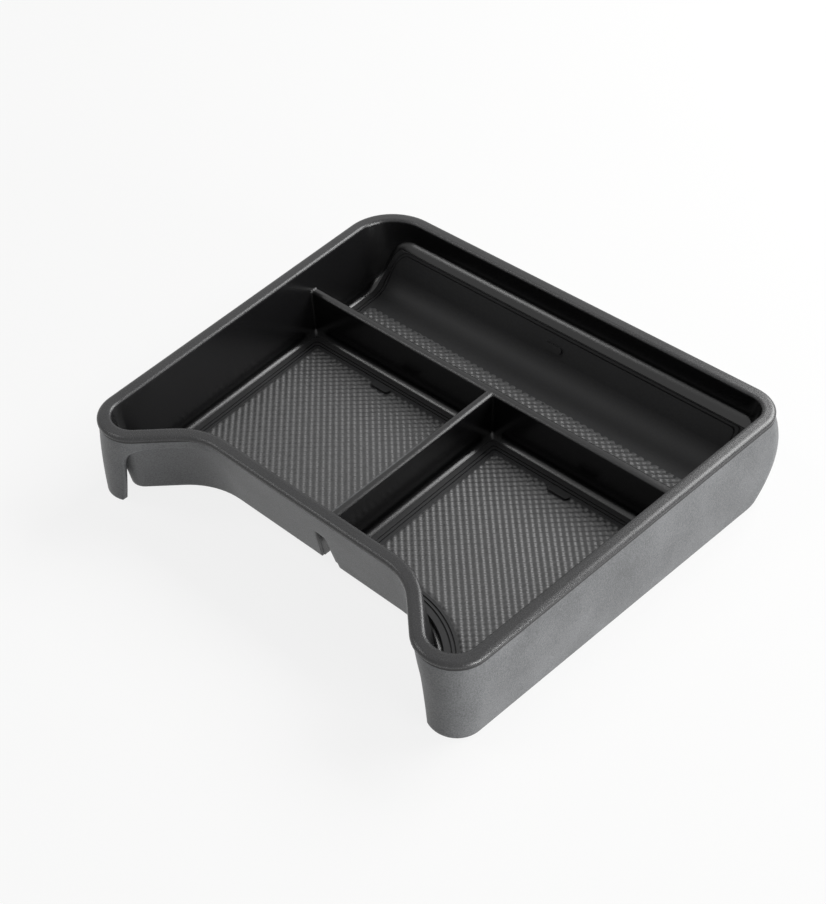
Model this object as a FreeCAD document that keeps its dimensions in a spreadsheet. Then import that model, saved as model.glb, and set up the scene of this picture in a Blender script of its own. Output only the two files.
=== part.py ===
"""Center console organizer tray: one moulded plastic tray with three loose rubber mats.

Millimetres, +Z up. The origin is the middle of the footprint, on the surface that the tray stands on. The
two ears point to -Y. The rim lies in one plane at the top, the skirt flares a little on its way down, and the
tub hangs inside it.
"""
import FreeCAD, Part
import math
import os
import Sketcher

doc = FreeCAD.newDocument("organizer_tray")

DRIVING_SIZES = {
    # Overall
    "overall_depth": 221.0,
    "tray_height": 44.6,
    # Rim outline, at the outer edge of the lip
    "rim_half_width": 117.3,
    "rim_side_angle": 3.7,
    "rim_back_inset": 3.0,
    "front_setback": 25.6,
    "ear_angle": 45.0,
    "ear_tip_radius": 17.5,
    "bay_radius": 27.0,
    "back_left_radius": 27.0,
    "back_right_radius": 16.5,
    "rim_width": 6.3,
    "rim_inner_round": 1.1,
    "lip_overhang": 0.8,
    "lip_height": 2.2,
    "lip_round": 1.5,
    "flange_thickness": 2.8,
    # Skirt, at its foot and at its waist, where it stands out most
    "skirt_half_width": 119.8,
    "skirt_side_angle": 4.7,
    "skirt_tip_setback": 1.0,
    "skirt_tip_radius": 13.0,
    "skirt_back_radius": 29.0,
    "skirt_wall": 2.4,
    "waist_height": 21.0,
    "waist_bulge": 1.0,
    "waist_back_radius": 16.0,
    # Arch that opens the skirt between the ears
    "arch_top_depth": 8.6,
    "arch_half_width": 94.0,
    "arch_lean": 9.0,
    "arch_round": 14.0,
    "arch_foot_clearance": 5.0,
    # Tub
    "tub_depth": 37.6,
    "floor_thickness": 2.4,
    "tub_wall": 2.2,
    "wall_taper": 6.1,
    "floor_round": 3.0,
    # Curved back of the rear compartment, measured from the rim's outer back edge and from the rim's top
    "shoulder_depth": 15.6,
    "shoulder_setback": 11.6,
    "shoulder_angle": 50.0,
    "shoulder_round": 2.0,
    "ramp_lean": 24.4,
    "ramp_radius": 17.0,
    "ramp_heel": 25.0,
    # Dividers
    "divider_drop": 14.1,
    "divider_top": 4.2,
    "divider_draft": 5.0,
    "divider_round": 1.2,
    "cross_divider_place": 38.1,
    "long_divider_place": 6.6,
    "channel_roof": 4.0,
    "channel_wall": 1.1,
    "notch_aside": 1.6,
    "notch_drop": 18.5,
    "notch_width": 6.4,
    "notch_foot_width": 10.6,
    "notch_depth": 1.3,
    # Mats
    "mat_thickness": 1.5,
    "mat_inset": 2.8,
    "mat_divider_gap": 3.0,
    "mat_corner": 4.0,
    "mat_middle_place": 50.0,
    "mat_middle_depth": 15.0,
    "mat_edge_round": 0.3,
    "groove_inset": 2.9,
    "groove_width": 0.7,
    "groove_depth": 0.6,
    "groove_corner": 2.0,
    "ridge_width": 1.1,
    "tab_length": 11.0,
    "tab_width": 3.6,
    "tab_height": 1.3,
    "tab_inset": 8.6,
    "left_tab_place": 51.0,
    "right_tab_place": 60.0,
    "rear_tab_place": 3.0,
}

sizes = doc.addObject("Spreadsheet::Sheet", "Sizes")
for row, (alias, number) in enumerate(DRIVING_SIZES.items(), start=1):
    sizes.set(f"A{row}", alias)
    sizes.set(f"B{row}", str(number))
    sizes.setAlias(f"B{row}", alias)
doc.recompute()


class Size:
    """A length or angle that knows its value and the expression that gives it from the sheet."""

    def __init__(self, value, text):
        self.value = float(value)
        self.text = text

    def __add__(self, other):
        other = as_size(other)
        return Size(self.value + other.value, f"({self.text} + {other.text})")

    def __sub__(self, other):
        other = as_size(other)
        return Size(self.value - other.value, f"({self.text} - {other.text})")

    def __mul__(self, factor):
        factor = as_size(factor)
        return Size(self.value * factor.value, f"({self.text} * {factor.text})")

    def __truediv__(self, divisor):
        divisor = as_size(divisor)
        return Size(self.value / divisor.value, f"({self.text} / {divisor.text})")

    def __neg__(self):
        return Size(-self.value, f"(-{self.text})")


def as_size(number):
    return number if isinstance(number, Size) else Size(number, f"{number}")


def size(alias):
    return Size(sizes.get(alias), f"Sizes.{alias}")


def sine(angle):
    return Size(math.sin(math.radians(angle.value)), f"sin({angle.text} * 1 deg)")


def cosine(angle):
    return Size(math.cos(math.radians(angle.value)), f"cos({angle.text} * 1 deg)")


def tangent(angle):
    return Size(math.tan(math.radians(angle.value)), f"tan({angle.text} * 1 deg)")


def bind(target, name, wanted):
    target.setExpression(name, wanted.text)


# Sketches


def new_sketch(name, normal="Z", height=None):
    """An empty sketch on a plane square to X, Y or Z, raised to a height where one is given."""
    sketch = doc.addObject("Sketcher::SketchObject", name)
    turn = {
        "Z": FreeCAD.Rotation(),
        "Y": FreeCAD.Rotation(FreeCAD.Vector(1, 0, 0), 90),
        "X": FreeCAD.Rotation(FreeCAD.Vector(1, 1, 1), 120),
    }[normal]
    sketch.Placement = FreeCAD.Placement(FreeCAD.Vector(0, 0, 0), turn)
    if height is not None:
        bind(sketch, "Placement.Base.z", height)
    return sketch


def meeting_point(first, second, inset=(0.0, 0.0)):
    """Where two sides meet, each a (direction of the outward normal, distance from the origin) pair."""
    a, b = math.radians(first[0].value), math.radians(second[0].value)
    p, q = first[1].value - inset[0], second[1].value - inset[1]
    det = math.cos(a) * math.sin(b) - math.sin(a) * math.cos(b)
    x = (p * math.sin(b) - q * math.sin(a)) / det
    y = (q * math.cos(a) - p * math.cos(b)) / det
    return FreeCAD.Vector(x, y, 0)


def along(normal, across, up):
    """The distance of a point from a line's parallel through the origin, measured along the line's normal."""
    return across * cosine(normal) + up * sine(normal)


def seen_from(origin, sides):
    """The same sides, with their distances counted from another origin."""
    return [(normal, distance - along(normal, *origin)) for normal, distance in sides]


def normal_of(side):
    angle = math.radians(side[0].value)
    return FreeCAD.Vector(math.cos(angle), math.sin(angle), 0)


def rounded_outline(sketch, sides, corners):
    """Draw sides in counterclockwise order, with an arc after each: its radius is negative where it is hollow."""
    count, start_index = len(sides), sketch.GeometryCount
    arcs, ends = [], []
    for index, radius in enumerate(corners):
        side, following = sides[index], sides[(index + 1) % count]
        centre = meeting_point(side, following, (radius.value, radius.value))
        first = centre + normal_of(side) * radius.value
        last = centre + normal_of(following) * radius.value
        ends.append((first, last))
        circle = Part.Circle(centre, FreeCAD.Vector(0, 0, 1), abs(radius.value))
        start, stop = (first, last) if radius.value > 0 else (last, first)
        arcs.append(Part.ArcOfCircle(circle, circle.parameter(start), circle.parameter(stop)))
    lines = [Part.LineSegment(ends[index - 1][1], ends[index][0]) for index in range(count)]
    sketch.addGeometry(lines + arcs, False)
    for index, radius in enumerate(corners):
        line, following = start_index + index, start_index + (index + 1) % count
        arc = start_index + count + index
        begin, finish = (1, 2) if radius.value > 0 else (2, 1)
        sketch.addConstraint(Sketcher.Constraint("Tangent", line, 2, arc, begin))
        sketch.addConstraint(Sketcher.Constraint("Tangent", arc, finish, following, 1))
        drive(sketch, "Radius", (arc,), radius if radius.value > 0 else -radius)
    for index, (direction, distance) in enumerate(sides, start=start_index):
        drive(sketch, "Distance", (-1, 1, index), distance)
        drive(sketch, "Angle", (index,), direction + 90)


def drive(sketch, kind, places, wanted):
    """Add a constraint whose value comes from the sheet."""
    value = math.radians(wanted.value) if kind == "Angle" else wanted.value
    index = sketch.addConstraint(Sketcher.Constraint(kind, *places, value))
    sketch.setExpression(f"Constraints[{index}]", wanted.text)


def polygon(sketch, points):
    """A closed outline through points given as pairs of Sizes, each held by its distances from the origin."""
    vectors = [FreeCAD.Vector(x.value, y.value, 0) for x, y in points]
    count = len(vectors)
    sketch.addGeometry([Part.LineSegment(vectors[i], vectors[(i + 1) % count]) for i in range(count)], False)
    for index, (x, y) in enumerate(points):
        sketch.addConstraint(Sketcher.Constraint("Coincident", index - 1 if index else count - 1, 2, index, 1))
        drive(sketch, "DistanceX", (-1, 1, index, 1), x)
        drive(sketch, "DistanceY", (-1, 1, index, 1), y)


# The tray's outlines, seen from above


HALF_DEPTH = size("overall_depth") * 0.5
RIM_TOP = size("tray_height")
RIM_BOTTOM = RIM_TOP - size("lip_height")
FLOOR = RIM_TOP - size("tub_depth")
TUB_BOTTOM = FLOOR - size("floor_thickness")
FLOOR_OFFSET = size("rim_width") + size("wall_taper")


def plan_shape(half_width, side_angle, tip_radius, tip_setback, back, back_radii):
    """The tray's shape at one height. An ear's slanting inner face is tangent to the ear's round tip."""
    slant = size("ear_angle")
    centre_y = tip_radius + tip_setback - HALF_DEPTH
    centre_x = (half_width - tip_radius + centre_y * sine(side_angle)) / cosine(side_angle)
    return {
        "half_width": half_width,
        "side_angle": side_angle,
        "tip_radius": tip_radius,
        "back": back,
        "front": HALF_DEPTH - size("front_setback"),
        "face": tip_radius - centre_x * sine(slant) - centre_y * cosine(slant),
        "back_radii": back_radii,
    }


def at_waist(top, foot):
    """A size that runs evenly from the underside of the lip to the foot, where it passes the waist."""
    return foot + (top - foot) * (size("waist_height") / RIM_BOTTOM)


RIM = plan_shape(
    size("rim_half_width"),
    size("rim_side_angle"),
    size("ear_tip_radius"),
    as_size(0),
    HALF_DEPTH - size("rim_back_inset"),
    (size("back_right_radius"), size("back_left_radius")),
)
FOOT = plan_shape(
    size("skirt_half_width"),
    size("skirt_side_angle"),
    size("skirt_tip_radius"),
    size("skirt_tip_setback"),
    HALF_DEPTH,
    (size("skirt_back_radius"), size("skirt_back_radius")),
)
WAIST = plan_shape(
    at_waist(size("rim_half_width") - size("lip_overhang"), size("skirt_half_width")) + size("waist_bulge"),
    at_waist(size("rim_side_angle"), size("skirt_side_angle")),
    at_waist(size("ear_tip_radius") - size("lip_overhang"), size("skirt_tip_radius")),
    at_waist(size("lip_overhang"), size("skirt_tip_setback")),
    HALF_DEPTH,
    (size("waist_back_radius"), size("back_left_radius")),
)

# The outlines are drawn from a point on the cross divider, so that no side passes through their origin
OUTLINE_ORIGIN = (as_size(0), size("cross_divider_place"))


def tray_outline(name, shape, height, offset, front_offset=None, back_offset=None, back_radius=None):
    """A sketch of the tray's outline, moved inwards by an offset that may differ at the front and the back."""
    front_offset = offset if front_offset is None else front_offset
    back_offset = offset if back_offset is None else back_offset
    turn, slant = shape["side_angle"], size("ear_angle")
    side, face = shape["half_width"] - offset, shape["face"] - offset
    sides = [
        (-turn, side),
        (as_size(90), shape["back"] - back_offset),
        (turn - 180, side),
        (slant - 90, face),
        (as_size(-90), shape["front"] - front_offset),
        (-slant - 90, face),
    ]
    back_right, back_left = [radius - offset for radius in shape["back_radii"]]
    if back_radius is not None:
        back_right = back_left = back_radius
    tip, bay = shape["tip_radius"] - offset, -(size("bay_radius") + offset)
    corners = [back_right, back_left, tip, bay, bay, tip]
    sketch = new_sketch(name, "Z", height)
    bind(sketch, "Placement.Base.y", OUTLINE_ORIGIN[1])
    rounded_outline(sketch, seen_from(OUTLINE_ORIGIN, sides), corners)
    return sketch


# Solids


def loft(name, *sketches, ruled=True):
    """A solid through outlines at several heights: straight between them where it is ruled, curved otherwise."""
    solid = doc.addObject("Part::Loft", name)
    solid.Sections = list(sketches)
    solid.Solid = True
    solid.Ruled = ruled
    return solid


def extrusion(name, sketch, length, both_ways=False):
    solid = doc.addObject("Part::Extrusion", name)
    solid.Base = sketch
    solid.DirMode = "Normal"
    solid.Solid = True
    solid.Symmetric = both_ways
    bind(solid, "LengthFwd", length)
    return solid


def cut(name, base, tool):
    result = doc.addObject("Part::Cut", name)
    result.Base, result.Tool = base, tool
    return result


def join(name, *solids):
    result = doc.addObject("Part::MultiFuse", name)
    result.Shapes = list(solids)
    return result


def overlap(name, *solids):
    result = doc.addObject("Part::MultiCommon", name)
    result.Shapes = list(solids)
    return result


def rounded(name, base, chosen):
    """Round the edges of a solid: chosen pairs a test of an edge with a radius."""
    doc.recompute()
    result = doc.addObject("Part::Fillet", name)
    result.Base = base
    picked = []
    for index, edge in enumerate(base.Shape.Edges, start=1):
        for test, radius in chosen:
            if test(edge):
                picked.append((index, radius.value, radius.value))
                break
    result.Edges = picked
    return result


def level(edge, height, slack=0.01):
    """Whether an edge lies wholly at a height."""
    box = edge.BoundBox
    return abs(box.ZMin - height.value) < slack and abs(box.ZMax - height.value) < slack


SHORTEST_CREST = size("overall_depth") * 0.22


def spans(edge, axis):
    """Whether an edge runs along an axis for most of a divider."""
    return getattr(edge.BoundBox, f"{axis}Length") > SHORTEST_CREST.value


# Rim plate, with a rounded lip
rim_sketch = tray_outline("rim_outline", RIM, RIM_BOTTOM, as_size(0))
rim_plate = extrusion("rim_plate", rim_sketch, size("lip_height"))
rim = rounded("rounded_rim", rim_plate, [(lambda edge: level(edge, RIM_TOP), size("lip_round"))])

# Skirt: a thin wall that flares to its waist, with wider corners at its foot. Across the front it stays inside
# the tub's wall
FLANGE = RIM_TOP - size("flange_thickness")
SKIRT_FRONT = size("lip_overhang") + size("tub_wall")
CORE_FRONT = SKIRT_FRONT + size("skirt_wall")
skirt_solid = loft(
    "skirt_solid",
    tray_outline("skirt_top", RIM, RIM_BOTTOM, size("lip_overhang"), front_offset=SKIRT_FRONT),
    tray_outline("skirt_waist", WAIST, size("waist_height"), as_size(0), front_offset=SKIRT_FRONT),
    tray_outline("skirt_foot", FOOT, as_size(0), as_size(0), front_offset=SKIRT_FRONT),
    ruled=False,
)
skirt_core = loft(
    "skirt_core",
    tray_outline("core_top", RIM, FLANGE, size("lip_overhang") + size("skirt_wall"), front_offset=CORE_FRONT),
    tray_outline("core_waist", WAIST, size("waist_height"), size("skirt_wall"), front_offset=CORE_FRONT),
    tray_outline("core_foot", FOOT, as_size(0), size("skirt_wall"), front_offset=CORE_FRONT),
    ruled=False,
)
skirt_shell = cut("skirt_shell", skirt_solid, skirt_core)

# The arch opens the skirt between the ears
arch_sketch = new_sketch("arch_outline", "Y")
arch_lean = size("arch_lean")
rounded_outline(
    arch_sketch,
    [
        (arch_lean, size("arch_half_width") * cosine(arch_lean)),
        (as_size(90), RIM_TOP - size("arch_top_depth")),
        (as_size(180) - arch_lean, size("arch_half_width") * cosine(arch_lean)),
        (as_size(-90), size("arch_foot_clearance")),
    ],
    [size("arch_round"), size("arch_round"), as_size(1), as_size(1)],
)
arch = extrusion("arch", arch_sketch, HALF_DEPTH * 2)
open_skirt = cut("open_skirt", skirt_shell, arch)

# Tub: its walls slope inwards, and its back follows the ramp inside
TUB_TOP_OFFSET = size("rim_width") - size("tub_wall")
TUB_FOOT_OFFSET = FLOOR_OFFSET - size("tub_wall")
RAMP_FOOT = size("shoulder_setback") + (size("tub_depth") - size("shoulder_depth")) * tangent(size("ramp_lean"))
tub = loft(
    "tub_solid",
    tray_outline("tub_top", RIM, RIM_BOTTOM, TUB_TOP_OFFSET, front_offset=size("lip_overhang")),
    tray_outline(
        "tub_foot",
        RIM,
        TUB_BOTTOM,
        TUB_FOOT_OFFSET,
        back_offset=RAMP_FOOT - size("tub_wall"),
        back_radius=size("floor_round") + size("tub_wall"),
    ),
)
block = join("block", rim, open_skirt, tub)

# Cavity of the tub, before the dividers
cavity = loft(
    "cavity",
    tray_outline("cavity_mouth", RIM, RIM_TOP, size("rim_width")),
    tray_outline("cavity_floor", RIM, FLOOR, FLOOR_OFFSET),
)

# Dividers: tapered ribs, hollow from below
DIVIDER_TOP = RIM_TOP - size("divider_drop")
CROSS_PLACE, LONG_PLACE = size("cross_divider_place"), size("long_divider_place")


def rib_profile(sketch, place, top, top_width, foot):
    """A symmetric rib that widens downwards by the draft angle; across the page is the rib's thickness."""
    half_top = top_width * 0.5
    half_foot = half_top + (top - foot) * tangent(size("divider_draft"))
    left_foot, right_foot = (place - half_foot, foot), (place + half_foot, foot)
    polygon(sketch, [left_foot, right_foot, (place + half_top, top), (place - half_top, top)])


BELOW = TUB_BOTTOM - 1
cross_sketch = new_sketch("cross_divider_profile", "X")
rib_profile(cross_sketch, CROSS_PLACE, DIVIDER_TOP, size("divider_top"), BELOW)
cross_rib = extrusion("cross_rib", cross_sketch, size("rim_half_width") * 2.4, both_ways=True)

long_sketch = new_sketch("long_divider_profile", "Y")
rib_profile(long_sketch, LONG_PLACE, DIVIDER_TOP, size("divider_top"), BELOW)
bind(long_sketch, "Placement.Base.y", CROSS_PLACE)
long_rib = extrusion("long_rib", long_sketch, HALF_DEPTH * 1.2)

# Ramp: the rear compartment's floor curves up to a shoulder below the back rim
RAMP_NORMAL = as_size(180) - size("ramp_lean")
SHOULDER_NORMAL = size("shoulder_angle") + 90
RAMP_FOOT_Y = RIM["back"] - RAMP_FOOT

ramp_sketch = new_sketch("ramp_profile", "X", TUB_BOTTOM)
bind(ramp_sketch, "Placement.Base.y", RAMP_FOOT_Y + size("ramp_radius"))
SHOULDER = (
    RAMP_FOOT - size("shoulder_setback") - size("ramp_radius"),
    RIM_TOP - size("shoulder_depth") - TUB_BOTTOM,
)
rounded_outline(
    ramp_sketch,
    [
        (as_size(0), RAMP_FOOT),
        (SHOULDER_NORMAL, along(SHOULDER_NORMAL, *SHOULDER)),
        (RAMP_NORMAL, along(RAMP_NORMAL, *SHOULDER)),
        (as_size(90), size("floor_thickness")),
        (as_size(180), size("ramp_radius") + size("ramp_heel")),
        (as_size(-90), size("floor_thickness")),
    ],
    [as_size(1), size("shoulder_round"), -size("ramp_radius"), as_size(1), as_size(1), as_size(1)],
)
ramp = extrusion("ramp", ramp_sketch, size("rim_half_width") * 2.4, both_ways=True)



def crest(axis):
    """A test for the long edges along a divider's top."""
    return lambda edge: level(edge, DIVIDER_TOP) and spans(edge, axis)


# The dividers and the ramp stand in the cavity, and what is left is rounded where walls meet floor
ribs = join(
    "ribs",
    rounded("rounded_cross_rib", cross_rib, [(crest("X"), size("divider_round"))]),
    rounded("rounded_long_rib", long_rib, [(crest("Y"), size("divider_round"))]),
    ramp,
)
hollow = cut("hollow", cavity, ribs)


RAMP_TURN = (as_size(90) - size("ramp_lean")) / 2
RAMP_START = RAMP_FOOT_Y - size("ramp_radius") * tangent(RAMP_TURN) - 1
RAMP_TOP = RIM_TOP - size("shoulder_depth") + 1
END_WIDTH = size("rim_half_width") * 0.2


def floor_edge(edge):
    """Whether an edge of the hollow lies in the floor or runs up the ramp at one end of it."""
    box = edge.BoundBox
    if level(edge, FLOOR):
        return box.YMin < RAMP_START.value or box.XLength < 1
    on_ramp = box.YMin > RAMP_START.value and box.ZMax < RAMP_TOP.value
    return on_ramp and box.XLength < END_WIDTH.value


hollow_rounded = rounded("hollow_rounded", hollow, [(floor_edge, size("floor_round"))])
dished = cut("dished", block, hollow_rounded)

# Each divider is hollow from below, and the long one's channel comes out as a notch in the front wall
CHANNEL_TOP = DIVIDER_TOP - size("channel_roof")
CHANNEL_WIDENING = size("channel_roof") * tangent(size("divider_draft"))
CHANNEL_WIDTH = size("divider_top") + (CHANNEL_WIDENING - size("channel_wall")) * 2
cross_channel_sketch = new_sketch("cross_channel_profile", "X")
rib_profile(cross_channel_sketch, CROSS_PLACE, CHANNEL_TOP, CHANNEL_WIDTH, BELOW)
cross_length = (size("rim_half_width") - FLOOR_OFFSET) * 2
cross_channel = extrusion("cross_channel", cross_channel_sketch, cross_length, both_ways=True)
long_channel_sketch = new_sketch("long_channel_profile", "Y")
rib_profile(long_channel_sketch, LONG_PLACE, CHANNEL_TOP, CHANNEL_WIDTH, BELOW)
bind(long_channel_sketch, "Placement.Base.y", CROSS_PLACE)
long_channel = extrusion("long_channel", long_channel_sketch, HALF_DEPTH * 1.2)


def notch_section(name, height, width, wall_offset):
    """The notch at one height: a rectangle from in front of the tray to the notch's depth in the front wall."""
    sketch = new_sketch(name, "Z", height)
    near, far = -HALF_DEPTH, wall_offset + size("notch_depth") - RIM["front"]
    middle = LONG_PLACE + size("notch_aside")
    left, right = middle - width * 0.5, middle + width * 0.5
    polygon(sketch, [(left, near), (right, near), (right, far), (left, far)])
    return sketch


NOTCH_TOP = RIM_TOP - size("notch_drop")
WALL_SLOPE = (TUB_FOOT_OFFSET - size("lip_overhang")) / (RIM_BOTTOM - TUB_BOTTOM)
WALL_AT_NOTCH = size("lip_overhang") + (RIM_BOTTOM - NOTCH_TOP) * WALL_SLOPE
notch = loft(
    "notch",
    notch_section("notch_head", NOTCH_TOP, size("notch_width"), WALL_AT_NOTCH),
    notch_section("notch_foot", TUB_BOTTOM, size("notch_foot_width"), TUB_FOOT_OFFSET),
)
underside = join("underside", cross_channel, long_channel, notch)
moulding = cut("moulding", dished, underside)


def inner_rim_edge(edge):
    """Whether an edge runs round the mouth of the tub at the top of the rim."""
    if not level(edge, RIM_TOP):
        return False
    middle = edge.valueAt((edge.FirstParameter + edge.LastParameter) / 2)
    return mouth.distToShape(Part.Vertex(middle))[0] < 0.3


doc.recompute()
mouth = Part.Wire(doc.getObject("cavity_mouth").Shape.Edges)
tray_body = rounded("tray_body", moulding, [(inner_rim_edge, size("rim_inner_round"))])


# Mats: each lies on the floor of its compartment, a little inside the walls
MAT_WALL_OFFSET = FLOOR_OFFSET + size("mat_inset")
DIVIDER_FOOT = size("divider_top") * 0.5 + (DIVIDER_TOP - FLOOR) * tangent(size("divider_draft"))
MAT_DIVIDER_OFFSET = DIVIDER_FOOT + size("mat_divider_gap")
MAT_BACK = CROSS_PLACE - MAT_DIVIDER_OFFSET
GROOVE_EDGES = [
    size("groove_inset"),
    size("groove_inset") + size("groove_width"),
    size("groove_inset") + size("groove_width") + size("ridge_width"),
    size("groove_inset") + size("groove_width") * 2 + size("ridge_width"),
]


def front_mat_outline(hand, inset, corner):
    """A front mat's outline, moved inwards by an inset; hand is -1 on the left and 1 on the right."""
    turn, slant = size("rim_side_angle"), size("ear_angle")
    offset = MAT_WALL_OFFSET + inset
    wall, face, front = RIM["half_width"] - offset, RIM["face"] - offset, RIM["front"] - offset
    back, bay = MAT_BACK - inset, -(size("bay_radius") + offset)
    if hand < 0:
        divider = LONG_PLACE - MAT_DIVIDER_OFFSET - inset
        sides = [(as_size(0), divider), (as_size(90), back), (turn - 180, wall)]
        sides += [(slant - 90, face), (as_size(-90), front)]
    else:
        divider = -(LONG_PLACE + MAT_DIVIDER_OFFSET + inset)
        sides = [(-turn, wall), (as_size(90), back), (as_size(180), divider)]
        sides += [(as_size(-90), front), (-slant - 90, face)]
    return sides, [corner, corner, corner, bay, corner]


def body_sketch(body, name, height, across=None, back=None):
    """A sketch on a body's own ground plane, raised and moved where that is asked."""
    ground = next(plane for plane in body.Origin.OriginFeatures if plane.Role == "XY_Plane")
    sketch = body.newObject("Sketcher::SketchObject", name)
    sketch.AttachmentSupport = (ground, [""])
    sketch.MapMode = "FlatFace"
    bind(sketch, "AttachmentOffset.Base.z", height)
    if across is not None:
        bind(sketch, "AttachmentOffset.Base.x", across)
        bind(sketch, "AttachmentOffset.Base.y", back)
    return sketch


def pad(body, name, sketch, length):
    feature = body.newObject("PartDesign::Pad", name)
    feature.Profile = sketch
    bind(feature, "Length", length)
    sketch.Visibility = False
    return feature


def capsule(sketch):
    """The outline of a lift tab, round at both ends."""
    length, width = size("tab_length") * 0.5, size("tab_width") * 0.5
    sides = [(as_size(0), length), (as_size(90), width), (as_size(180), length), (as_size(270), width)]
    rounded_outline(sketch, sides, [width * 0.9] * 4)


def front_mat(name, hand, middle_x, middle_y, tab_x):
    """A flat mat with two grooves and a ridge between them round its edge, and a lift tab at the back."""
    body = doc.addObject("PartDesign::Body", name)
    body.Label = name
    bind(body, "Placement.Base.x", middle_x)
    bind(body, "Placement.Base.y", middle_y)
    bind(body, "Placement.Base.z", FLOOR)
    thickness = size("mat_thickness")

    def add_outline(sketch, inset, corner):
        sides, corners = front_mat_outline(hand, inset, corner)
        rounded_outline(sketch, seen_from((middle_x, middle_y), sides), corners)

    sheet_sketch = body_sketch(body, f"{name}_outline", as_size(0))
    add_outline(sheet_sketch, as_size(0), size("mat_corner"))
    sheet = pad(body, f"{name}_sheet", sheet_sketch, thickness)
    doc.recompute()
    softened = body.newObject("PartDesign::Fillet", f"{name}_softened")
    top_edges = [f"Edge{i}" for i, edge in enumerate(sheet.Shape.Edges, start=1) if level(edge, thickness)]
    softened.Base = (sheet, top_edges)
    bind(softened, "Radius", size("mat_edge_round"))

    groove_sketch = body_sketch(body, f"{name}_groove_outline", thickness)
    for inset in GROOVE_EDGES:
        add_outline(groove_sketch, inset, size("groove_corner"))
    grooves = body.newObject("PartDesign::Pocket", f"{name}_grooves")
    grooves.Profile = groove_sketch
    bind(grooves, "Length", size("groove_depth"))
    doc.recompute()
    if grooves.Shape.Volume >= softened.Shape.Volume:
        raise RuntimeError(f"the grooves of {name} cut nothing")

    tab_y = MAT_BACK - size("tab_inset")
    tab_sketch = body_sketch(body, f"{name}_tab_outline", thickness, tab_x - middle_x, tab_y - middle_y)
    capsule(tab_sketch)
    pad(body, f"{name}_tab", tab_sketch, size("tab_height"))
    return body


MAT_PLACE, MAT_DEPTH = size("mat_middle_place"), -size("mat_middle_depth")
left_mat = front_mat("front_left_mat", -1, -MAT_PLACE, MAT_DEPTH, -size("left_tab_place"))
right_mat = front_mat("front_right_mat", 1, MAT_PLACE, MAT_DEPTH, size("right_tab_place"))

# Rear mat: a band that follows the floor and the ramp up to the shoulder
REAR_FRONT = CROSS_PLACE + MAT_DIVIDER_OFFSET
BAND_DROP, BAND_ASIDE = size("mat_thickness") * 0.5, size("mat_thickness") * 0.3
BAND_PLACE = RAMP_FOOT_Y - BAND_ASIDE


def mat_band(name, thickness):
    """The mat's section from front to back, of a given thickness, as a band across the whole tray.

    The sketch's origin lies inside the band, a little before the foot of the ramp.
    """
    sketch = new_sketch(f"{name}_profile", "X", FLOOR + BAND_DROP)
    bind(sketch, "Placement.Base.y", BAND_PLACE)
    lean, end_round = size("ramp_lean"), size("mat_edge_round")
    under = along(-lean, BAND_ASIDE, -BAND_DROP)
    shoulder = (SHOULDER_ABOVE_FOOT * tangent(lean) + BAND_ASIDE, SHOULDER_ABOVE_FOOT - BAND_DROP)
    top_end = along(as_size(90) - lean, *shoulder)
    rounded_outline(
        sketch,
        [
            (as_size(-90), BAND_DROP),
            (-lean, under),
            (as_size(90) - lean, top_end),
            (as_size(180) - lean, thickness - under),
            (as_size(90), thickness - BAND_DROP),
            (as_size(180), BAND_PLACE - REAR_FRONT),
        ],
        [size("ramp_radius"), end_round, end_round, thickness - size("ramp_radius"), end_round, end_round],
    )
    return extrusion(name, sketch, RIM["half_width"] * 2.4, both_ways=True)


def rear_mat_section(name, height, wall_offset, inset, corner):
    """The rear mat's outline at one height; across the ramp the inset is foreshortened."""
    turn, offset = size("rim_side_angle"), wall_offset + size("mat_inset") + inset
    wall = RIM["half_width"] - offset
    back = RIM["back"] - size("shoulder_setback") - inset * sine(size("ramp_lean"))
    sides = [(-turn, wall), (as_size(90), back), (turn - 180, wall), (as_size(-90), -REAR_FRONT - inset)]
    sketch = new_sketch(f"{name}_outline", "Z", height)
    bind(sketch, "Placement.Base.y", RAMP_FOOT_Y)
    corners = [corner, size("back_left_radius") - offset, corner, corner]
    rounded_outline(sketch, seen_from((as_size(0), RAMP_FOOT_Y), sides), corners)
    return sketch


def rear_mat_prism(name, inset, corner):
    """A block in the rear mat's outline, whose sides follow the taper of the tub's walls."""
    return loft(
        name,
        rear_mat_section(f"{name}_low", FLOOR, FLOOR_OFFSET, inset, corner),
        rear_mat_section(f"{name}_high", RIM_TOP, size("rim_width"), inset, corner),
    )


SHOULDER_ABOVE_FOOT = RIM_TOP - size("shoulder_depth") - FLOOR
rear_band = mat_band("rear_band", size("mat_thickness"))
rear_sheet = overlap("rear_sheet", rear_band, rear_mat_prism("rear_edge", as_size(0), size("mat_corner")))
rings = [
    rear_mat_prism(f"ring_{index}", inset, size("groove_corner")) for index, inset in enumerate(GROOVE_EDGES)
]
ring_walls = join("ring_walls", cut("outer_ring", rings[0], rings[1]), cut("inner_ring", rings[2], rings[3]))
below_grooves = mat_band("below_grooves", size("mat_thickness") - size("groove_depth"))
rear_grooved = cut("rear_grooved", rear_sheet, cut("rear_grooves", ring_walls, below_grooves))

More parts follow.
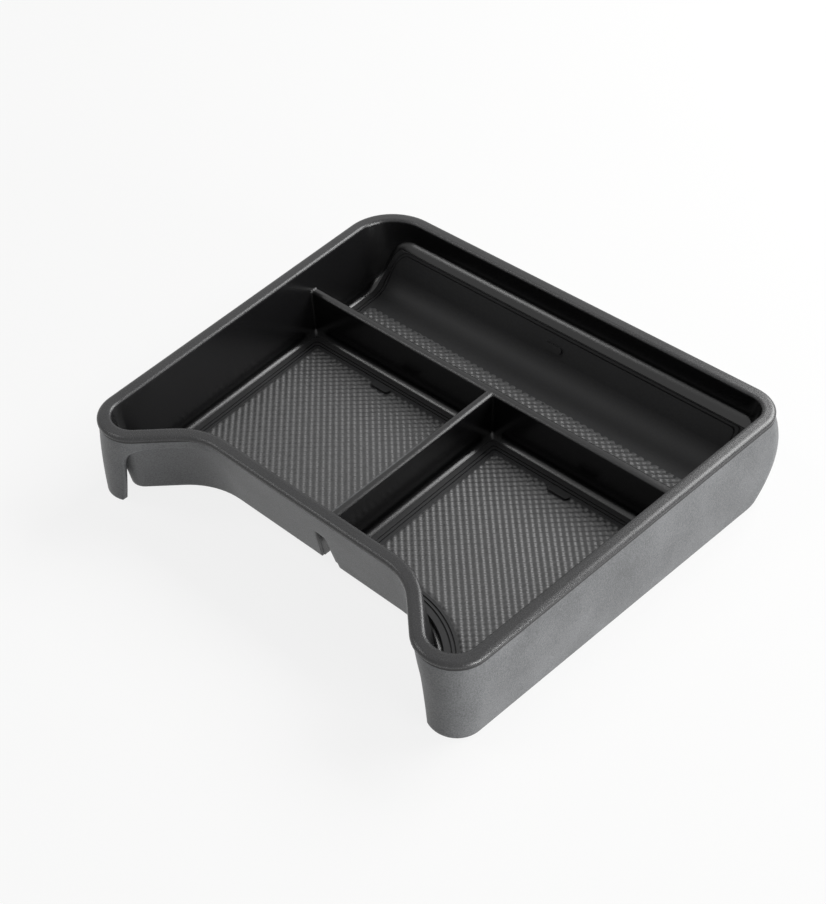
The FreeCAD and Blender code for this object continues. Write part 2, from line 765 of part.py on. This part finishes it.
tab_sketch = new_sketch("rear_tab_outline")
capsule(tab_sketch)
rear_tab = extrusion("rear_tab", tab_sketch, size("mat_thickness") * 0.5 + size("tab_height"))
TAB_DOWN = size("tab_inset")
rear_tab.Placement = FreeCAD.Placement(
    FreeCAD.Vector(), FreeCAD.Rotation(FreeCAD.Vector(1, 0, 0), 90 - size("ramp_lean").value)
)
TAB_SINK, LEAN = size("mat_thickness") * 0.5, size("ramp_lean")
TAB_Y = RIM["back"] - size("shoulder_setback") - TAB_DOWN * sine(LEAN) - TAB_SINK * cosine(LEAN)
TAB_Z = RIM_TOP - size("shoulder_depth") - TAB_DOWN * cosine(LEAN) + TAB_SINK * sine(LEAN)
bind(rear_tab, "Placement.Base.x", size("rear_tab_place"))
bind(rear_tab, "Placement.Base.y", TAB_Y)
bind(rear_tab, "Placement.Base.z", TAB_Z)
rear_mat = join("rear_mat", rear_grooved, rear_tab)


# Every object is checked before its step file is written

doc.recompute()
os.makedirs("parts", exist_ok=True)
for item in doc.Objects:
    if "Invalid" in item.State or "Error" in item.State:
        raise RuntimeError(f"{item.Name} did not build: {item.State}")
    if hasattr(item, "Shape") and (item.Shape.isNull() or not item.Shape.isValid()):
        raise RuntimeError(f"{item.Name} has no valid shape")

for piece in (tray_body, left_mat, right_mat, rear_mat):
    piece.Label = piece.Name
    if len(piece.Shape.Solids) != 1:
        raise RuntimeError(f"{piece.Label} is not one solid")
    piece.Shape.exportStep(f"parts/{piece.Label}.step")
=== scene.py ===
"""Center console organizer tray: black moulded plastic with three loose mats, on a pale studio floor."""
import math

import bpy
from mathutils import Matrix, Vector


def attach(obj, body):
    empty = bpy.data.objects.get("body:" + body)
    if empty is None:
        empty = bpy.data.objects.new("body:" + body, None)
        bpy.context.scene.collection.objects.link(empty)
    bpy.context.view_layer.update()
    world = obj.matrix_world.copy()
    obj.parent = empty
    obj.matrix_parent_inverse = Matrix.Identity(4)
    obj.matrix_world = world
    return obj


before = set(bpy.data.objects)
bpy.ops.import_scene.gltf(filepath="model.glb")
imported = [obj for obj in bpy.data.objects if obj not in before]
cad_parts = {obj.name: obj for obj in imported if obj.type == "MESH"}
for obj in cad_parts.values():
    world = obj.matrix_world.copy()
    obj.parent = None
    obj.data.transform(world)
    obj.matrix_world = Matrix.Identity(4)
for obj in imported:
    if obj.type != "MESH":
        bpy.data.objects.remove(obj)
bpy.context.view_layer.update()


# Tray
# One injection moulding in black plastic. The outside and the top of the rim carry a fine moulded grain,
# and the inside of the tub is smooth, so that it comes out of the mould and wipes clean.
class Socket:
    """A node's output that can be used in sums, and that adds the Math nodes which work them out."""

    def __init__(self, tree, output):
        self.tree, self.output = tree, output

    def math(self, operation, *values):
        return self.tree.node("ShaderNodeMath", {"operation": operation}, dict(enumerate(values)))

    def __add__(self, other):
        return self.math("ADD", self, other)

    def __sub__(self, other):
        return self.math("SUBTRACT", self, other)

    def __rsub__(self, other):
        return self.math("SUBTRACT", other, self)

    def __mul__(self, other):
        return self.math("MULTIPLY", self, other)

    def __truediv__(self, other):
        return self.math("DIVIDE", self, other)

    __radd__, __rmul__ = __add__, __mul__

    def least(self, other):
        return self.math("MINIMUM", self, other)

    def most(self, other):
        return self.math("MAXIMUM", self, other)

    def below(self, other):
        return self.math("LESS_THAN", self, other)

    def absolute(self):
        return self.math("ABSOLUTE", self)

    def sign(self):
        return self.math("SIGN", self)

    def root(self):
        return self.math("SQRT", self)

    def cosine(self):
        return self.math("COSINE", self)

    def step(self, low, high):
        """0 below low, 1 above high, and smooth between them."""
        settings = {"interpolation_type": "SMOOTHSTEP"}
        inputs = {"Value": self, "From Min": low, "From Max": high}
        return self.tree.node("ShaderNodeMapRange", settings, inputs)


class NodeTree:
    """A node tree with one method for every node."""

    def __init__(self, tree):
        self.nodes, self.links = tree.nodes, tree.links

    def node(self, kind, settings=None, inputs=None, output=0):
        """Add a node: its settings first, then the values or links of its sockets."""
        node = self.nodes.new(kind)
        for name, value in (settings or {}).items():
            setattr(node, name, value)
        for name, value in (inputs or {}).items():
            if isinstance(value, Socket):
                self.links.new(value.output, node.inputs[name])
            else:
                node.inputs[name].default_value = value
        return Socket(self, node.outputs[output])

    def split(self, vector):
        parts = self.node("ShaderNodeSeparateXYZ", inputs={"Vector": vector}).output.node.outputs
        return [Socket(self, parts[axis]) for axis in "XYZ"]

    def join(self, x=0.0, y=0.0, z=0.0):
        return self.node("ShaderNodeCombineXYZ", inputs={"X": x, "Y": y, "Z": z})


class Material(NodeTree):
    """A material round one Principled shader."""

    def __init__(self, name):
        self.material = bpy.data.materials.new(name)
        self.material.use_nodes = True
        super().__init__(self.material.node_tree)
        self.shader = self.nodes["Principled BSDF"]

    def set(self, **inputs):
        """Set or link the shader's sockets, named with _ for each space."""
        for name, value in inputs.items():
            socket = self.shader.inputs[name.replace("_", " ")]
            if isinstance(value, Socket):
                self.links.new(value.output, socket)
            else:
                socket.default_value = value

    def place(self):
        """The piece's own coordinates."""
        return self.node("ShaderNodeTexCoord", output="Object")

    def noise(self, vector, scale, detail=2.0, roughness=0.5):
        inputs = {"Vector": vector, "Scale": scale, "Detail": detail, "Roughness": roughness}
        return self.node("ShaderNodeTexNoise", inputs=inputs)

    def colours(self, factor, *stops):
        """A colour ramp between two stops: each is a place and a colour."""
        ramp = self.nodes.new("ShaderNodeValToRGB")
        for index, (place, colour) in enumerate(stops):
            element = ramp.color_ramp.elements[index]
            element.position = place
            element.color = (*colour, 1.0)
        self.links.new(factor.output, ramp.inputs["Fac"])
        return Socket(self, ramp.outputs["Color"])

    def mix(self, factor, first, second):
        """One colour where the factor is 0 and another where it is 1."""
        node = self.nodes.new("ShaderNodeMix")
        node.data_type = "RGBA"
        for index, value in ((0, factor), (6, first), (7, second)):
            self.links.new(value.output, node.inputs[index])
        return Socket(self, node.outputs[2])

    def bump(self, height, distance, strength, **inputs):
        inputs = {"Height": height, "Distance": distance, "Strength": strength, **inputs}
        return self.node("ShaderNodeBump", inputs=inputs)


rim_side_slope = 0.065
rim_half_width = 0.1175
rim_back = 0.1075
rim_front = -0.0849
ear_face = 0.0238
wall_reach = 0.018
barely_out, clearly_out = 0.02, 0.06

rim_top = 0.0446
lip_foot = 0.0424
rounding_foot, rounding_top = rim_top - 0.0016, rim_top - 0.0008
# Just under the lip a band of painted shade runs round the outward faces, from where the grain ends to just
# above the lip's foot
grain_top, painted_shade_foot, painted_shade_top = lip_foot - 0.0021, lip_foot - 0.0017, lip_foot + 0.0002

grain_scale, speckle_scale, cloud_scale = 1500.0, 3800.0, 45.0
edge_radius, grain_depth = 0.0020, 0.0002

plastic = Material("tray_plastic")
place = plastic.place()
x, y, z = plastic.split(place)
from_side = rim_half_width + rim_side_slope * y - x.absolute()
from_back = rim_back - y
from_front = y - rim_front
from_ear_face = (y + ear_face + x.absolute()) * math.sqrt(0.5)
# A face belongs to the outside where it looks away from the tub, past the walls that it is near
near_side, near_back, near_front, near_ear_face = (
    (1.0 - distance / wall_reach).most(0.0) for distance in (from_side, from_back, from_front, from_ear_face)
)
facing_x, facing_y, _ = plastic.split(plastic.node("ShaderNodeTexCoord", output="Normal"))
outwards = facing_x * x.sign()
away_from_ear_face = (outwards + facing_y) * math.sqrt(0.5)
facing_out = outwards * near_side + facing_y * (near_back - near_front) - away_from_ear_face * near_ear_face
looks_out = facing_out.step(barely_out, clearly_out)
inside = (1.0 - looks_out) * (1.0 - z.step(rounding_foot, rounding_top))
past_grain = z.step(grain_top, painted_shade_foot)
outside = looks_out * (1.0 - past_grain)
# Painted shade: the band under the lip takes the inside's near-black colour and a higher roughness, for the
# shade that the overhanging lip casts
painted_shade_under_lip = looks_out * past_grain * (1.0 - z.step(lip_foot, painted_shade_top))

grain = plastic.noise(place, grain_scale, detail=3.0, roughness=0.6)
speckle = plastic.noise(place, speckle_scale, detail=1.0)
cloud = plastic.noise(place, cloud_scale)
coarse = 1.0 - inside * 0.85
relief = (grain * 0.7 + speckle * 0.3) * (coarse * 0.22 + outside * 0.78)
soft_edges = plastic.node("ShaderNodeBevel", {"samples": 6}, {"Radius": edge_radius})
shade = cloud * 0.3 + grain * 0.7
# The three blacks are partly the smooth and grained finishes and partly painted light: the outer walls are
# painted several times lighter than the rim top, which carries the same grain, for the light that falls on
# them, and the inside is painted darker, for the shade in the tub
shaded_smooth_black = plastic.colours(shade, (0.3, (0.003, 0.003, 0.0032)), (0.7, (0.005, 0.005, 0.0053)))
rim_black = plastic.colours(shade, (0.35, (0.008, 0.008, 0.0085)), (0.65, (0.026, 0.026, 0.027)))
lit_grained_black = plastic.colours(shade, (0.38, (0.050, 0.052, 0.054)), (0.62, (0.122, 0.125, 0.129)))
top_black = plastic.mix(inside.most(painted_shade_under_lip), rim_black, shaded_smooth_black)
plastic.set(
    Base_Color=plastic.mix(outside, top_black, lit_grained_black),
    Roughness=0.14 + coarse * 0.07 + outside * 0.18 + grain * 0.10 + painted_shade_under_lip * 0.4,
    Normal=plastic.bump(relief, grain_depth, 0.8, Normal=soft_edges),
    IOR=1.5,
    Specular_IOR_Level=0.5,
)
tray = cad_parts["tray_body"]
tray.data.materials.clear()
tray.data.materials.append(plastic.material)


# Mats
# Three loose sheets of dark rubber, cut to the compartments' floors. Two grooves with a ridge between them
# run round each edge, and a small lift tab stands near the back edge of each.
dust_scale, patch_scale, dust_depth = 900.0, 30.0, 0.00005

rubber = Material("mat_rubber")
place = rubber.place()
dust = rubber.noise(place, dust_scale, detail=3.0)
patches = rubber.noise(place, patch_scale)
dustiness = dust * 0.6 + patches * 0.4
rubber.set(
    Base_Color=rubber.colours(dustiness, (0.3, (0.018, 0.018, 0.0185)), (0.75, (0.030, 0.030, 0.031))),
    Roughness=0.44 + dust * 0.14,
    Normal=rubber.bump(dust, dust_depth, 0.5),
    Specular_IOR_Level=0.25,
)
for mat_name in ("front_left_mat", "front_right_mat", "rear_mat"):
    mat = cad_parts[mat_name]
    mat.data.materials.clear()
    mat.data.materials.append(rubber.material)


# Relief on the mats
# Inside the grooves each mat is pressed into small rounded bumps and hollows, in a square lattice that
# stands at an angle. The relief leaves out the place of the lift tab, and ends before the rear mat's curve.
mottle_scale, rub_scale, rub_depth = 500.0, 2500.0, 0.00004

# A lit copy of the mats' rubber: the relief's colour is painted about twice as light, for the lamp light that
# the flanks of its bumps catch, and the mottle in it is random tone
lit_relief = Material("lit_relief_rubber")
place = lit_relief.place()
mottle = lit_relief.noise(place, mottle_scale)
lit_relief.set(
    Base_Color=lit_relief.colours(mottle, (0.3, (0.048, 0.048, 0.0485)), (0.7, (0.070, 0.070, 0.071))),
    Roughness=0.38 + mottle * 0.12,
    Normal=lit_relief.bump(lit_relief.noise(place, rub_scale), rub_depth, 0.5),
)


def relief_tree():
    """The pressed sheet over a flat field. As given, its tab and its fading end lie outside every field."""
    tree = bpy.data.node_groups.new("mat_relief", "GeometryNodeTree")
    tree.interface.new_socket("Field", in_out="INPUT", socket_type="NodeSocketGeometry")
    sizes = {
        "Span": 0.27, "Pitch": 0.00295, "Turn": 0.76, "Height": 0.0008, "Sink": 0.0001, "Top": 0.0085,
        "Border": 0.0012, "Fade Start": 1.0, "Fade End": 2.0,
        "Tab X": 0.0, "Tab Y": 1.0, "Tab Reach": 0.0037, "Tab Radius": 0.0018,
    }
    for name, value in sizes.items():
        socket = tree.interface.new_socket(name, in_out="INPUT", socket_type="NodeSocketFloat")
        socket.default_value = value
    tree.interface.new_socket("Relief", in_out="OUTPUT", socket_type="NodeSocketGeometry")
    net = NodeTree(tree)
    given = tree.nodes.new("NodeGroupInput")
    value = {name: Socket(net, given.outputs[name]) for name in ("Field", *sizes)}

    # A square grid, waved up and down between 0 and 1, and then turned
    steps_per_pitch = 6.0
    count = value["Span"] / value["Pitch"] * steps_per_pitch + 1.0
    grid_sizes = {"Size X": value["Span"], "Size Y": value["Span"], "Vertices X": count, "Vertices Y": count}
    grid = net.node("GeometryNodeMeshGrid", inputs=grid_sizes)
    lattice_x, lattice_y, _ = net.split(net.node("GeometryNodeInputPosition"))
    wave_x, wave_y = ((along * math.tau / value["Pitch"]).cosine() for along in (lattice_x, lattice_y))
    lift = net.join(z=(wave_x + wave_y) * 0.25 + 0.5)
    wavy = net.node("GeometryNodeSetPosition", inputs={"Geometry": grid, "Offset": lift})
    turning = {"Geometry": wavy, "Rotation": net.join(z=value["Turn"])}
    turned = net.node("GeometryNodeTransform", inputs=turning)

    # The share of the wave that is left at each point: none outside the field, at its outline and at the tab
    across, back, crest = net.split(net.node("GeometryNodeInputPosition"))
    ray_height, ray_length = 0.01, 0.1
    ray = {
        "Target Geometry": value["Field"],
        "Source Position": net.join(across, back, ray_height),
        "Ray Direction": (0.0, 0.0, -1.0),
        "Ray Length": ray_length,
    }
    in_field = net.node("GeometryNodeRaycast", inputs=ray)
    on_floor = {"Geometry": value["Field"], "Sample Position": net.join(across, back)}
    from_outline = net.node("GeometryNodeProximity", {"target_element": "EDGES"}, on_floor, output="Distance")
    past_tab = ((across - value["Tab X"]).absolute() - value["Tab Reach"]).most(0.0)
    beside_tab = back - value["Tab Y"]
    from_tab = (past_tab * past_tab + beside_tab * beside_tab).root() - value["Tab Radius"]
    border = (from_outline.least(from_tab) / value["Border"]).most(0.0).least(1.0)
    fade_length = value["Fade End"] - value["Fade Start"]
    ending = ((value["Fade End"] - back) / fade_length).most(0.0).least(1.0)
    share = in_field * border * ending

    # Where the share is 0 the sheet lies sunk in the mat, and elsewhere its hollows stand just proud of it
    clear_of_mat = value["Sink"] * 1.3
    level = value["Top"] - value["Sink"] + share * (clear_of_mat + value["Height"] * crest)
    pressing = {"Geometry": turned, "Position": net.join(across, back, level)}
    pressed = net.node("GeometryNodeSetPosition", inputs=pressing)
    near_field = in_field.most(from_outline.below(value["Pitch"] * 0.25))
    kept = net.node("GeometryNodeSeparateGeometry", inputs={"Geometry": pressed, "Selection": near_field})
    smooth = net.node("GeometryNodeSetShadeSmooth", inputs={"Geometry": kept})
    real = net.node("GeometryNodeRealizeInstances", inputs={"Geometry": smooth})
    painting = {"Geometry": real, "Material": lit_relief.material}
    painted = net.node("GeometryNodeSetMaterial", inputs=painting)
    result = tree.nodes.new("NodeGroupOutput")
    tree.links.new(painted.output, result.inputs["Relief"])
    return tree


def outline_points(sides, radii, steps=6):
    """Points round an outline. Each side is its normal's angle in degrees and its distance from the middle,
    and each radius rounds the corner after its side, or hollows it where the radius is negative."""
    points = []
    for index, radius in enumerate(radii):
        first_angle, first_distance = sides[index]
        next_angle, next_distance = sides[(index + 1) % len(sides)]
        first, second = math.radians(first_angle), math.radians(next_angle)
        near, far = first_distance - radius, next_distance - radius
        between = math.sin(second - first)
        centre_x = (near * math.sin(second) - far * math.sin(first)) / between
        centre_y = (far * math.cos(first) - near * math.cos(second)) / between
        sweep = (second - first + math.pi) % (2 * math.pi) - math.pi
        for step in range(steps + 1):
            angle = first + sweep * step / steps
            points.append(Vector((centre_x, centre_y)) + radius * Vector((math.cos(angle), math.sin(angle))))
    return points


wall_turn, slant = 3.7, 45.0
wall_offset, field_inset, field_corner = 0.0152, 0.0067, 0.001
reach = wall_offset + field_inset
rim_side, rim_slant, rim_bay, bay_radius = 0.1173, 0.0168, 0.0849, 0.027
wall, face, front = rim_side - reach, rim_slant - reach, rim_bay - reach
bay = -(bay_radius + reach)
mat_back, left_divider, right_divider = 0.03094, 0.00056, 0.01376
left_tab, right_tab, tab_from_back = -0.051, 0.060, 0.0086
rear_front, rear_fade_start, rear_back = 0.04526, 0.061, 0.0690
fields = {
    "front_left_mat": (
        [
            (0, -left_divider - field_inset),
            (90, mat_back - field_inset),
            (wall_turn - 180, wall),
            (slant - 90, face),
            (-90, front),
        ],
        [field_corner, field_corner, field_corner, bay, field_corner],
        {"Tab X": left_tab, "Tab Y": mat_back - tab_from_back},
    ),
    "front_right_mat": (
        [
            (-wall_turn, wall),
            (90, mat_back - field_inset),
            (180, -right_divider - field_inset),
            (-90, front),
            (-slant - 90, face),
        ],
        [field_corner, field_corner, field_corner, bay, field_corner],
        {"Tab X": right_tab, "Tab Y": mat_back - tab_from_back},
    ),
    "rear_mat": (
        [(-wall_turn, wall), (90, rear_back), (wall_turn - 180, wall), (-90, -rear_front - field_inset)],
        [field_corner] * 4,
        {"Fade Start": rear_fade_start, "Fade End": rear_back},
    ),
}
tree = relief_tree()
identifiers = {item.name: item.identifier for item in tree.interface.items_tree if item.in_out == "INPUT"}
for mat_name, (sides, radii, inputs) in fields.items():
    points = outline_points(sides, radii)
    mesh = bpy.data.meshes.new(mat_name + "_field")
    mesh.from_pydata([(point.x, point.y, 0.0) for point in points], [], [tuple(range(len(points)))])
    field = bpy.data.objects.new(mat_name + "_relief", mesh)
    bpy.context.scene.collection.objects.link(field)
    modifier = field.modifiers.new("relief", "NODES")
    modifier.node_group = tree
    for name, value in inputs.items():
        modifier[identifiers[name]] = value
    evaluated = field.evaluated_get(bpy.context.evaluated_depsgraph_get())
    relief_mesh = bpy.data.meshes.new_from_object(evaluated)
    relief_mesh.name = mat_name + "_relief"
    field.modifiers.clear()
    field.data = relief_mesh
    bpy.data.meshes.remove(mesh)
    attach(field, "root")


# Studio
# A wide pale floor that runs into a white surround. A large soft lamp hangs behind the tray, high up at the
# right, a long one stands low at its right, and a small weak one hangs high at the front left.
def seen_directly(tree):
    """1 for rays from the camera and for mirror and glass rays, 0 for the light that falls on things."""
    rays = tree.node("ShaderNodeLightPath").output.node.outputs
    kinds = ("Camera", "Glossy", "Transmission")
    camera, mirror, glass = (Socket(tree, rays[f"Is {kind} Ray"]) for kind in kinds)
    return camera.most(mirror).most(glass)


half_floor, floor_glow = 4.0, 0.84
floor_paint = Material("studio_floor")
floor_paint.set(Base_Color=(0.70, 0.70, 0.69, 1.0), Roughness=0.8)
white = floor_paint.node("ShaderNodeEmission", inputs={"Color": (1.0, 1.0, 1.0, 1.0), "Strength": 1.0})
paint = Socket(floor_paint, floor_paint.shader.outputs[0])
blend = floor_paint.node("ShaderNodeMixShader", inputs={"Fac": seen_directly(floor_paint) * floor_glow})
floor_paint.links.new(paint.output, blend.output.node.inputs[1])
floor_paint.links.new(white.output, blend.output.node.inputs[2])
floor_paint.links.new(blend.output, floor_paint.nodes["Material Output"].inputs["Surface"])
floor_mesh = bpy.data.meshes.new("studio_floor")
floor_corners = [(x * half_floor, y * half_floor, 0.0) for x, y in ((-1, -1), (1, -1), (1, 1), (-1, 1))]
floor_mesh.from_pydata(floor_corners, [], [(0, 1, 2, 3)])
floor = bpy.data.objects.new("studio_floor", floor_mesh)
bpy.context.scene.collection.objects.link(floor)
floor.data.materials.append(floor_paint.material)

cast_light, seen_light = 0.14, 1.0
world = bpy.data.worlds.new("studio")
bpy.context.scene.world = world
world.use_nodes = True
sky = NodeTree(world.node_tree)
background = world.node_tree.nodes["Background"]
background.inputs["Color"].default_value = (1.0, 1.0, 1.0, 1.0)
sky_strength = cast_light + seen_directly(sky) * (seen_light - cast_light)
world.node_tree.links.new(sky_strength.output, background.inputs["Strength"])


def soft_lamp(name, place, aim, width, height, power):
    lamp = bpy.data.lights.new(name, "AREA")
    lamp.shape = "RECTANGLE"
    lamp.size, lamp.size_y, lamp.energy = width, height, power
    holder = bpy.data.objects.new(name, lamp)
    holder.location = place
    holder.rotation_euler = (Vector(aim) - Vector(place)).to_track_quat("-Z", "Y").to_euler()
    bpy.context.scene.collection.objects.link(holder)


soft_lamp("back_softbox", (0.45, 1.15, 0.98), aim=(0.45, 0, 0), width=1.4, height=0.75, power=33.0)
soft_lamp("side_softbox", (1.6, 0.1, 0.18), aim=(0, 0, 0.02), width=1.0, height=0.3, power=33.0)
soft_lamp("left_fill", (-0.75, -0.45, 1.25), aim=(0, 0, 0), width=0.35, height=0.35, power=2.4)

camera_tilt, camera_turn = 46.272, 41.578
camera_data = bpy.data.cameras.new("camera")
camera_data.sensor_fit = "HORIZONTAL"
camera_data.sensor_width = 36.0
camera_data.lens = 61.017
camera = bpy.data.objects.new("camera", camera_data)
camera.location = (0.30935, -0.35969, 0.46675)
camera.rotation_euler = (math.radians(camera_tilt), 0.0, math.radians(camera_turn))
bpy.context.scene.collection.objects.link(camera)
bpy.context.scene.camera = camera
bpy.context.scene.view_settings.view_transform = "Standard"
